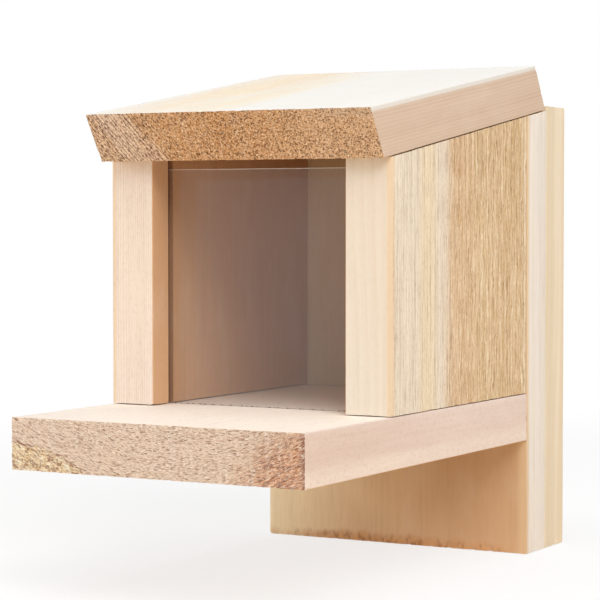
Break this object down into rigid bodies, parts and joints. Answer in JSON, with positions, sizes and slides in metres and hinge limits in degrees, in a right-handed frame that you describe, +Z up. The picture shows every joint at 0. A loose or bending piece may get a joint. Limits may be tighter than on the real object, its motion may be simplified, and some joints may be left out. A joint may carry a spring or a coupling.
{
  "type": "squirrel feeder box",
  "caption": "Wall-hung softwood feeder box for squirrels with a clear front pane, a wide ledge and a heavy sloping lid hinged at the back.",
  "frame": {"origin": "middle of the mounting board's rear face, the face that goes against the wall or trunk", "axes": "+Z up, the front with the pane and the ledge looks towards -Y, +X to the right as seen from the front"},
  "size_m": [0.14, 0.2586, 0.2303],
  "materials": {
    "lid_wood": "rough-sawn face, sawn end grain",
    "platform_wood": "planed, sawn end grain",
    "side_wood": "rough-sawn face, planed edges",
    "back_wood": "planed softwood",
    "clear_acrylic": "polished clear sheet",
    "zinc_steel": "zinc plated",
    "coated_steel": "yellow passivated"
  },
  "bodies": {
    "box": {"platform": "platform_wood", "side_panel_left": "side_wood", "side_panel_right": "side_wood", "inner_back_board": "back_wood", "mounting_board": "back_wood", "front_pane": "clear_acrylic", "floor_screw_left_front": "coated_steel", "floor_screw_left_rear": "coated_steel", "rear_screw_left_low": "coated_steel", "rear_screw_left_high": "coated_steel", "platform_screw_left": "coated_steel", "mounting_screw_left_low": "coated_steel", "mounting_screw_left_high": "coated_steel", "floor_screw_right_front": "coated_steel", "floor_screw_right_rear": "coated_steel", "rear_screw_right_low": "coated_steel", "rear_screw_right_high": "coated_steel", "platform_screw_right": "coated_steel", "mounting_screw_right_low": "coated_steel", "mounting_screw_right_high": "coated_steel", "hinge_leaf_left_board": "zinc_steel", "hinge_pin_left": "zinc_steel", "hinge_screw_left_board_outer": "zinc_steel", "hinge_screw_left_board_inner": "zinc_steel", "hinge_leaf_right_board": "zinc_steel", "hinge_pin_right": "zinc_steel", "hinge_screw_right_board_outer": "zinc_steel", "hinge_screw_right_board_inner": "zinc_steel"},
    "lid": {"lid": "lid_wood", "hinge_leaf_left_lid": "zinc_steel", "hinge_screw_left_lid_outer": "zinc_steel", "hinge_screw_left_lid_inner": "zinc_steel", "hinge_leaf_right_lid": "zinc_steel", "hinge_screw_right_lid_outer": "zinc_steel", "hinge_screw_right_lid_inner": "zinc_steel"}
  },
  "joints": [
    {"name": "lid_hinge", "type": "hinge", "parent": "box", "child": "lid", "pos_m": [0, -0.02378, 0.10855], "axis": [-1, 0, 0], "range_deg": [0, 100]}
  ]
}
